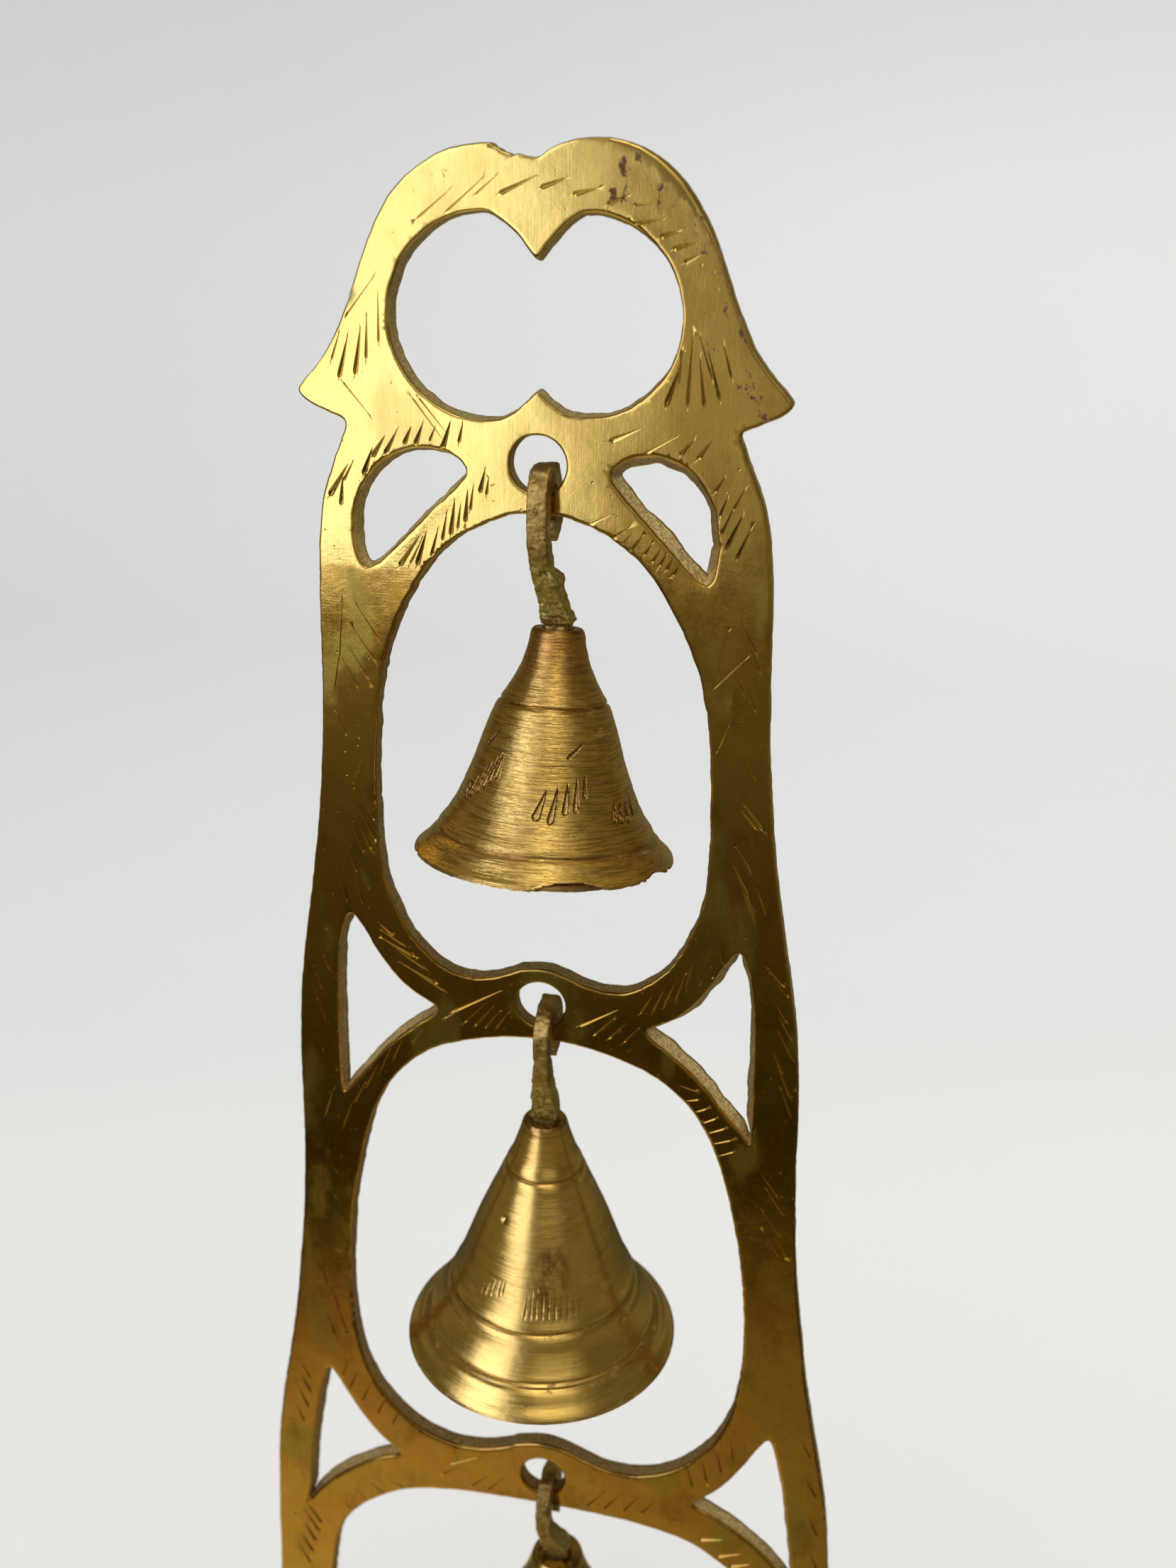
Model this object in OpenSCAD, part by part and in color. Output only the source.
// Three-tier brass wind chime: a flat pierced frame with three bells, larger
// towards the foot, each hung from the frame by a bent hook and rung by its own
// clapper.
// Frame: +Z up, +X right, the front of the frame faces -Y, the origin is the
// middle of the hanging opening, on the centre line and in the middle plane.

/* [Frame] */
// Thickness of the cast frame
plate_t = 3.0; // [2.6:0.1:3.4]
// Radius of the left lobe of the hanging opening
lobe_left_r = 13.9; // [13.6:0.1:14.2]
// Radius of the right lobe of the hanging opening
lobe_right_r = 13.4; // [13.1:0.1:13.7]
// Radius of the three hook holes
hole_r = 4.2; // [4.1:0.05:4.4]
// Number of spline steps between two control points of an outline
steps = 2; // [1:1:4]

/* [Hooks] */
// Inner radius of the hook's loop around the cross bar
loop_in = 2.7; // [2.65:0.05:2.85]
// Thickness of the hook's strip, front to back
strip_t = 3.15; // [2.8:0.05:3.3]
// Radius of the round shank that turns in the bell's crown
shank_r = 2.2; // [2.0:0.05:2.25]
// Half width of the head that holds the bell up
head_r = 2.8; // [2.7:0.05:2.9]
// Thickness of the flattened head
head_t = 2.2; // [1.8:0.1:2.2]

/* [Bells] */
// Wall thickness of the bells
bell_wall = 1.3; // [1.2:0.05:1.4]
// Radius of the hole in each crown
crown_bore_r = 2.35; // [2.3:0.05:2.5]
// Depth of the solid neck under each crown
neck = 3.4; // [3.2:0.1:3.6]

/* [Clappers] */
// Radius of the clapper wire
wire_r = 0.6; // [0.5:0.05:0.7]
// Radius of the wire ring, to the middle of the wire
ring_r = 2.1; // [2.0:0.05:2.2]
// Radius of the eye in the hook's head
eye_r = 1.1; // [1.0:0.05:1.2]

/* [Hidden] */
$fn = 64;

brass_plate = [0.72, 0.55, 0.22];
brass_dark = [0.50, 0.43, 0.20];
brass_bell = [0.78, 0.60, 0.28];
steel_wire = [0.36, 0.33, 0.28];

// Every list of three below runs from the top tier to the bottom one.
// Height of each hook hole's centre, and of the middle of the bar below it
hole_z = [-19.9, -108.3, -211.8];
bar_z = [-25.5, -113.6, -217.5];

// Crown centre, and drop of the crown below the bar
crown_x = [2.7, 0.4, 2.6];
crown_drop = [18.5, 17.6, 14.7];
// Angles that swing the mouth to the left and to the front
lean = [1.7, 0.9, 0.8];
tilt = [8.2, 0, 0];

// Depths below the crown of the clapper's pivot and of its ball
head_gap = 0.15;
pivot_depth = neck + head_gap + head_r;
ball_depth = [25.6, 33.0, 40.0];
ball_r = [3.4, 4.2, 5.0];

// Moves to the crown of bell i, along the bell's own axis
module at_crown(i) {
    translate([crown_x[i], 0, bar_z[i] - crown_drop[i]])
        rotate([-tilt[i], 0, 0])
            rotate([0, lean[i], 0])
                children();
}

// ---------------------------------------------------------------- splines
// Catmull-Rom point between start and end, at t from 0 to 1
function spline(before, start, end, after, t) =
    0.5 * (2 * start + (end - before) * t
           + (2 * before - 5 * start + 4 * end - after) * t * t
           + (3 * start - before - 3 * end + after) * t * t * t);

function closed_curve(points) = let (count = len(points)) [
    for (i = [0 : count - 1]) for (k = [0 : steps - 1])
        spline(points[(i + count - 1) % count], points[i],
               points[(i + 1) % count], points[(i + 2) % count], k / steps)];

function open_curve(points, pieces) = let (last = len(points) - 1) concat(
    [for (i = [0 : last - 1]) for (k = [0 : pieces - 1])
        spline(points[max(i - 1, 0)], points[i],
               points[i + 1], points[min(i + 2, last)], k / pieces)],
    [points[last]]);

// ------------------------------------------------------- frame's outlines
// All outlines are lists of [x, z].
// Right half of the frame's edge: crown lobe, wing, rail, flared foot
edge_half = [
    [0, 20.6], [2.2, 21.8], [5, 22.7], [9, 23], [13, 22.3], [17, 20.2],
    [20, 17.5], [22.5, 14.1], [24.5, 10.3], [26.2, 5.8], [28, 1.3],
    [30.2, -3.2], [32.6, -6.6], [34.9, -9], [35.9, -10.5], [34.6, -12],
    [31.8, -13.3], [29, -14.6], [29.6, -17], [31.2, -20.7], [33, -25.7],
    [34, -31.7], [34.5, -38.7], [34.8, -48.7], [35.2, -58.7], [36, -68.7],
    [37.2, -78.7], [38.8, -88.7], [40.6, -98.7], [42.2, -108.7],
    [43.1, -118.7], [43.5, -128.7], [43.8, -138.7], [44.4, -148.7],
    [45.3, -158.7], [46.6, -168.7], [48, -178.7], [49.8, -188.7],
    [51.8, -198.7], [53.5, -208.7], [54.6, -218.7], [55.3, -228.7],
    [55.9, -238.7], [56.4, -248.7], [57, -258.7], [58, -269.7],
    [59.4, -280.7], [61.1, -290.7], [63.1, -300.7], [65.3, -309.7],
    [67.8, -316.7], [70.3, -321.3], [71.6, -323.9], [70.6, -326],
    [67, -327.4], [61, -328.2], [54, -328.3], [46, -328.7], [38, -330],
    [31, -331.8], [25, -332.6], [19, -332.6], [13, -331.4], [7, -329.2],
    [3, -327.7], [0, -327.1]];
// Left crown lobe, a little lower than the right one; point for point it
// stands in for edge_half's points after the first
edge_left = [[-2.2, 21.6], [-5, 22.3], [-9, 22.3], [-13, 21.5], [-17, 19.4],
             [-20, 16.9], [-22.4, 13.8], [-24.3, 10.2]];
// Broken corner of the left crown lobe
chip = [[-7, 24], [-6.4, 22.6], [-5.8, 21.9], [-4.6, 21.4], [-3.4, 20.9],
        [-1.6, 20.8], [0, 20.5], [0.6, 24]];

// Hanging opening: centres of its two lobes, and the cusps between them
lobe_left_at = [-7.8, 0];
lobe_right_at = [6.9, 0.3];
cusp_above = [
    [-7.4, 14.1], [-6.4, 13.6], [-5.3, 12.95], [-4.2, 12.2], [-3.1, 11.25],
    [-2.1, 10.2], [-1.2, 9.1], [-0.5, 8.25], [0, 7.8], [0.5, 8.25],
    [1.2, 9.1], [2.1, 10.2], [3.1, 11.25], [4.2, 12.25], [5.2, 13],
    [6, 13.5], [6.7, 13.9]];
cusp_below = [
    [-6.2, -14.1], [-5.2, -13.6], [-4.2, -13.1], [-3.2, -12.5],
    [-2.2, -11.7], [-1.2, -10.8], [-0.4, -10.1], [0, -9.85], [0.4, -10.1],
    [1.2, -10.8], [2.2, -11.65], [3.2, -12.3], [4.2, -12.8], [5.4, -13.3]];

// Right halves of the three bell windows
window_halves = [
    [[0, -27], [4, -27.3], [8, -28.7], [12, -30.8], [16, -34.3],
     [19.2, -38.7], [21.9, -43.7], [24, -48.7], [25.3, -53.7],
     [26.1, -58.7], [26.7, -66.7], [27, -74.7], [26.8, -82.7],
     [25.9, -88.7], [24.1, -94], [21.5, -98.7], [18, -102.3],
     [14.5, -104.2], [11, -104.6], [7.5, -103.9], [4.2, -102.5],
     [2, -101.8], [0, -101.6]],
    [[0, -114.9], [5, -115.1], [10, -116], [15, -117.5], [19, -119.3],
     [23, -122.3], [26.5, -126.2], [29.5, -131.7], [31.8, -138.2],
     [33.5, -145.2], [35, -152.7], [36, -160.7], [36.6, -168.7],
     [36.7, -176.7], [36.2, -183.7], [34.8, -190.7], [32, -197],
     [28, -202.2], [23.5, -205.7], [19, -207.5], [15, -207.9],
     [11, -207.4], [7.5, -206.1], [4, -204.6], [0, -203.9]],
    [[0, -218.9], [6, -218.9], [12, -219.1], [18, -219.6], [24, -220.6],
     [29, -222.2], [34, -225.3], [38, -228.7], [41, -232.7], [43, -237.7],
     [44.3, -243.7], [45.2, -250.7], [46, -260.7], [46.7, -270.7],
     [47.1, -278.7], [46.9, -286.7], [46, -294.7], [44, -302.2],
     [40.8, -309], [36.3, -314.7], [30.8, -319.3], [25, -322],
     [19.5, -322.7], [14, -322], [9, -320.2], [4.5, -318.6],
     [0, -318.1]]];

// Half-round opening beside the top hole, right side
gap_1 = [[10.7, -21.3], [11.6, -19.7], [13.6, -18.6], [16.5, -18.1],
         [19.5, -18.5], [22.5, -19.9], [25, -22.3], [26.8, -25.7],
         [27.5, -29.7], [27.3, -33.7], [26.3, -35.9], [24.8, -35.8],
         [23, -34.3], [17, -28.3], [12, -23.3]];
// Three-cornered openings between the windows, right side
gap_2 = [[32.5, -95], [33.9, -97.7], [34.9, -101.7], [35.5, -106.7],
         [35.8, -112.7], [35.9, -118.7], [36, -124.7], [35.8, -130],
         [33.8, -127.9], [31, -124.7], [28, -120.7], [25, -117.6],
         [22, -115], [19.3, -112.9], [17.9, -111.2], [19.5, -110],
         [22.5, -108.2], [25.3, -105.5], [28, -101.7], [30.3, -97.5]];
gap_3 = [[42.4, -193.7], [43.6, -196.7], [44.8, -201.7], [45.9, -207.7],
         [46.9, -214.7], [47.7, -220.7], [48.3, -225.7], [48.9, -229.3],
         [46.5, -226.2], [43.5, -222.5], [40, -219.3], [36, -216.3],
         [32.5, -214.3], [30, -213.3], [29, -212.1], [30.5, -210.7],
         [33.3, -207.9], [36, -204.3], [38.6, -199.9], [40.8, -195.7]];
// [outline, stretch in x on the left, stretch in x on the right]
side_gaps = [[gap_1, 1.05, 0.94], [gap_2, 1, 1], [gap_3, 1, 1]];

// ------------------------------------------------------------------ frame
cut_depth = plate_t * 3;

// A right half mirrored to the left, from its last point but one back to
// the point numbered first
function mirrored_back(half, first = 1) =
    [for (i = [len(half) - 2 : -1 : first]) [-half[i][0], half[i][1]]];

function frame_edge() = concat(
    edge_half,
    mirrored_back(edge_half, len(edge_left) + 1),
    [for (i = [len(edge_left) - 1 : -1 : 0]) edge_left[i]]);

// An opening put on one side (-1 left, 1 right) and stretched in x from its
// innermost point
function sided(points, side, stretch) =
    let (tip = min([for (p = points) p[0]]))
    [for (p = points) [side * (tip + (p[0] - tip) * stretch), p[1]]];

// Extrudes a shape for cutting right through the frame
module through() {
    rotate([90, 0, 0]) linear_extrude(cut_depth, center = true) children();
}

module round_cut(x, z, radius) {
    translate([x, 0, z]) rotate([90, 0, 0])
        cylinder(r = radius, h = cut_depth, center = true);
}

module hanging_opening() {
    difference() {
        union() {
            round_cut(lobe_left_at[0], lobe_left_at[1], lobe_left_r);
            round_cut(lobe_right_at[0], lobe_right_at[1], lobe_right_r);
        }
        through() polygon(cusp_above);
        through() polygon(cusp_below);
    }
}

module frame_plate() {
    color(brass_plate)
    difference() {
        rotate([90, 0, 0]) linear_extrude(plate_t, center = true)
            polygon(closed_curve(frame_edge()));
        through() polygon(chip);
        hanging_opening();
        for (half = window_halves)
            through() polygon(closed_curve(concat(half, mirrored_back(half))));
        for (z = hole_z) round_cut(0, z, hole_r);
        for (gap = side_gaps) for (side = [-1, 1])
            through() polygon(closed_curve(
                sided(gap[0], side, side < 0 ? gap[1] : gap[2])));
    }
}

// ------------------------------------------------------------------ hooks
loop_out = loop_in + strip_t;
hook_steps = 4;     // spline steps along the strip's edges
strip_span = 16;    // extrusion of both strip views, wider than the strip
loop_end_y = 0.9;   // the loop is open below the bar in front of this
loop_cut = 20;      // size of the blocks that cut the loop
stem_end = 0.95;    // share of the drop where the strip ends

// Edges of the strip seen from the front: [left x, right x] at each share
// of the drop
strip_share = [-0.4, 0, 0.25, 0.5, 0.72, stem_end];
strip_edges = [
    [[-0.6, 2.2], [-0.7, 2.3], [-0.7, 2.3], [-0.5, 2.6], [0.1, 3.7], [0.5, 5.3]],
    [[-0.3, 2.3], [-0.3, 2.3], [-0.4, 2.3], [-0.9, 2.3], [-1.4, 2.6], [-1.9, 2.9]],
    [[-0.4, 2.2], [-0.4, 2.2], [-0.2, 2.4], [0.1, 3.4], [0.2, 4.5], [0.2, 5.0]]];

// Edges of the stem seen from the side: [y, share of the drop], down the
// front and up the back
stem_front = [[-loop_out, 0], [-loop_out, 0.16], [-loop_out + 0.5, 0.38],
              [-loop_out + 1.8, 0.6], [-loop_out + 3.2, 0.78], [-1.8, stem_end]];
stem_back = [[1.8, stem_end], [1.5, 0.78], [0.2, 0.6], [-1.3, 0.4],
             [-loop_in - 0.05, 0.2], [-loop_in, 0]];

// Shank: flats across, reach into the head and rise above the crown
shank_flats = 3.2;
shank_sink = 1;
shank_rise = 2.2;
shank_h = neck + shank_sink + shank_rise;

// Smooth edge through points of [offset, share of the drop]
function hook_edge(points, drop) =
    open_curve([for (p = points) [p[0], -p[1] * drop]], hook_steps);

module strip_front(i) {
    last = len(strip_share) - 1;
    left = [for (k = [0 : last]) [strip_edges[i][k][0], strip_share[k]]];
    right = [for (k = [last : -1 : 0]) [strip_edges[i][k][1], strip_share[k]]];
    translate([0, strip_span / 2, 0]) rotate([90, 0, 0]) linear_extrude(strip_span)
        polygon(concat(hook_edge(left, crown_drop[i]),
                       hook_edge(right, crown_drop[i])));
}

// The strip seen from the side: a loop round the bar and a stem that swings
// back under it
module strip_side(i) {
    rotate([90, 0, 90]) linear_extrude(strip_span, center = true)
        polygon(concat(hook_edge(stem_front, crown_drop[i]),
                       hook_edge(stem_back, crown_drop[i])));
    difference() {
        rotate([0, 90, 0]) cylinder(r = loop_out, h = strip_span, center = true);
        rotate([0, 90, 0]) cylinder(r = loop_in, h = loop_cut, center = true);
        translate([-loop_cut / 2, -loop_cut, -loop_cut])
            cube([loop_cut, loop_cut + loop_end_y, loop_cut]);
    }
}

// Flat-sided shank that turns in the crown
module shank() {
    bottom = -neck - shank_sink;
    intersection() {
        translate([0, 0, bottom]) cylinder(r = shank_r, h = shank_h);
        translate([-3, -shank_flats / 2, bottom]) cube([6, shank_flats, shank_h]);
    }
}

// Flattened head, round below
module head() {
    translate([-head_t / 2, -head_r, -pivot_depth])
        cube([head_t, 2 * head_r, head_r]);
    translate([0, 0, -pivot_depth]) rotate([0, 90, 0])
        cylinder(r = head_r, h = head_t, center = true);
}

module hook(i) {
    color(brass_dark)
    union() {
        translate([0, 0, bar_z[i]]) intersection() {
            strip_side(i);
            strip_front(i);
        }
        at_crown(i) difference() {
            union() {
                shank();
                head();
            }
            // the clapper's eye
            translate([0, 0, -pivot_depth]) rotate([0, 90, 0])
                cylinder(r = eye_r, h = 10, center = true);
        }
    }
}
module hook_1() { hook(0); }
module hook_2() { hook(1); }
module hook_3() { hook(2); }

// ------------------------------------------------------------------ bells
// Outer profile of each bell: [distance below the crown, radius]. Pairs close
// together are the turned steps and grooves.
bell_profile = [
    [[0, 3.6], [0.35, 3.95], [2.4, 4.35], [5, 5.1], [7.5, 6.2],
     [9.7, 7.4], [10.8, 8.05], [11.1, 7.9], [11.4, 8.5], [12.6, 9.05],
     [14.6, 9.8], [17.1, 10.6], [20.1, 11.55], [23.1, 12.65], [26.2, 13.95],
     [28.7, 15.3], [31, 16.75], [31.4, 16.7], [31.8, 17.4],
     [32.9, 18.35], [33.9, 19.35], [34.6, 20.1], [34.9, 20.15]],
    [[0, 3.5], [0.35, 3.8], [1.8, 4.2], [4, 4.9], [6.6, 5.85], [8.8, 6.8],
     [9.0, 6.65], [9.2, 6.95], [11.4, 7.95], [16.2, 10.05], [21, 12],
     [25.8, 13.55], [30.6, 15.15], [32.6, 16.1], [32.8, 15.95],
     [33.1, 16.4], [35.4, 17.75], [38, 19.4], [39.4, 20.35], [39.6, 20.15],
     [39.9, 20.7], [40.3, 20.85], [40.5, 21.2], [42.6, 22.75],
     [44.1, 24.1], [44.6, 24.3]],
    [[0, 4.4], [0.4, 4.8], [2.2, 5.3], [5, 6.2], [8, 7.3], [10.6, 8.4],
     [10.8, 8.2], [11.1, 8.6], [14, 10], [19.8, 12.2], [25.6, 14.4],
     [31.4, 16.4], [37.2, 18.2], [39.8, 19.2], [40, 19], [40.4, 19.5],
     [43.2, 21.1], [46.4, 23.2], [48, 24.3], [48.2, 24.1], [48.6, 24.7],
     [49.1, 24.9], [49.3, 25.3], [51.9, 27.2], [53.9, 28.7],
     [54.5, 28.8]]];
// The inner wall follows the profile points at least this far from the neck
// and the mouth
inner_margin = 0.4;
// Step in of the hollow's radius from its highest wall point to the neck
hollow_step = 0.55;

module bell(i) {
    profile = bell_profile[i];
    last = len(profile) - 1;
    mouth = profile[last];
    outer = [for (p = profile) [p[1], -p[0]]];
    inner = [for (k = [last : -1 : 0])
        if (profile[k][0] > neck + inner_margin
            && profile[k][0] < mouth[0] - inner_margin)
            [profile[k][1] - bell_wall, -profile[k][0]]];
    hollow_top_r = inner[len(inner) - 1][0] - hollow_step;
    color(brass_bell)
    at_crown(i) difference() {
        rotate_extrude($fn = 96) polygon(concat(
            [[0, 0]], outer,
            [[mouth[1] - bell_wall, -mouth[0]]], inner,
            [[hollow_top_r, -neck], [0, -neck]]));
        translate([0, 0, -neck - 1]) cylinder(r = crown_bore_r, h = neck + 2);
    }
}
module bell_1() { bell(0); }
module bell_2() { bell(1); }
module bell_3() { bell(2); }

// --------------------------------------------------------------- clappers
wire_past_ball = 0.6;
// Peened wire end: its bottom below the ball, radii and height
peen_past_ball = 0.9;
peen_bottom_r = 0.8;
peen_top_r = 1.3;
peen_h = 0.85;
ball_bore_r = wire_r + 0.05;

// Distance from the pivot down to the ball's centre
function ball_drop(i) = ball_depth[i] - pivot_depth;

module at_pivot(i) {
    at_crown(i) translate([0, 0, -pivot_depth]) children();
}

module clapper_wire(i) {
    ball_bottom = ball_drop(i) + ball_r[i];
    color(steel_wire)
    at_pivot(i) union() {
        // ring through the eye of the hook's head
        translate([0, 0, -ring_r]) rotate([90, 0, 0]) rotate_extrude()
            translate([ring_r, 0]) circle(r = wire_r, $fn = 24);
        // straight wire down through the ball
        translate([0, 0, -ball_bottom - wire_past_ball])
            cylinder(r = wire_r, h = ball_bottom + wire_past_ball - 2 * ring_r);
        // peened end that carries the ball
        translate([0, 0, -ball_bottom - peen_past_ball])
            cylinder(r1 = peen_bottom_r, r2 = peen_top_r, h = peen_h);
    }
}
module clapper_wire_1() { clapper_wire(0); }
module clapper_wire_2() { clapper_wire(1); }
module clapper_wire_3() { clapper_wire(2); }

module clapper_ball(i) {
    color(brass_dark)
    at_pivot(i) translate([0, 0, -ball_drop(i)]) difference() {
        sphere(r = ball_r[i]);
        cylinder(r = ball_bore_r, h = 4 * ball_r[i], center = true);
    }
}
module clapper_ball_1() { clapper_ball(0); }
module clapper_ball_2() { clapper_ball(1); }
module clapper_ball_3() { clapper_ball(2); }

frame_plate();
hook_1();
hook_2();
hook_3();
bell_1();
bell_2();
bell_3();
clapper_wire_1();
clapper_wire_2();
clapper_wire_3();
clapper_ball_1();
clapper_ball_2();
clapper_ball_3();
